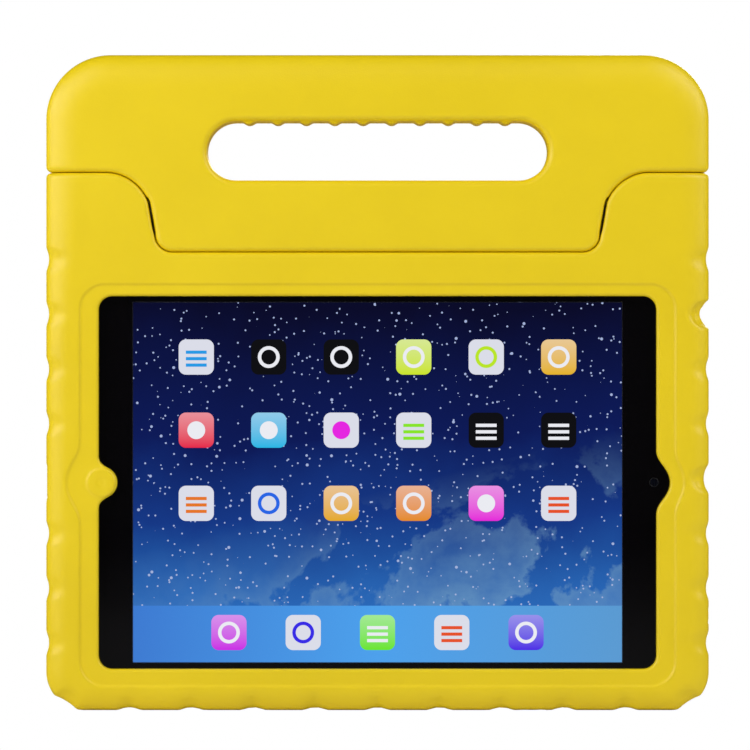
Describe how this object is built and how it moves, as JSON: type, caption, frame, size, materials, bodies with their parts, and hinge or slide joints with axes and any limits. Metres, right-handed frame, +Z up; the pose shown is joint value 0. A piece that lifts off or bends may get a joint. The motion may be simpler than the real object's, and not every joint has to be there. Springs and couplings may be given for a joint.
{
  "type": "shockproof tablet case",
  "caption": "Thick foam tablet case with a grooved bumper edge and a carry handle that folds back as a stand, shown with a tablet fitted.",
  "frame": {"origin": "under the middle of the bottom edge, on the surface that the case stands on", "axes": "+Z up to the handle, +X to the right of someone who looks at the screen, -Y out of the screen"},
  "size_m": [0.267, 0.026, 0.264],
  "materials": {
    "foam": "soft matt closed-cell foam skin",
    "pivot_plastic": "satin",
    "shell_metal": "fine blasted",
    "border_glass": "polished, black behind",
    "screen": "polished, lit",
    "lens": "polished"
  },
  "bodies": {
    "case": {"case_body": "foam", "pivot_pin_left": "pivot_plastic", "pivot_pin_right": "pivot_plastic", "tablet_rear_shell": "shell_metal", "tablet_front_glass": "border_glass", "tablet_display": "screen", "tablet_front_camera": "lens", "tablet_rear_camera": "lens"},
    "grip": {"handle": "foam", "pivot_bush_left": "pivot_plastic", "pivot_bush_right": "pivot_plastic"}
  },
  "joints": [
    {"name": "handle_fold", "type": "hinge", "parent": "case", "child": "grip", "pos_m": [0, 0, 0.1988], "axis": [-1, 0, 0], "range_deg": [0, 105]}
  ]
}
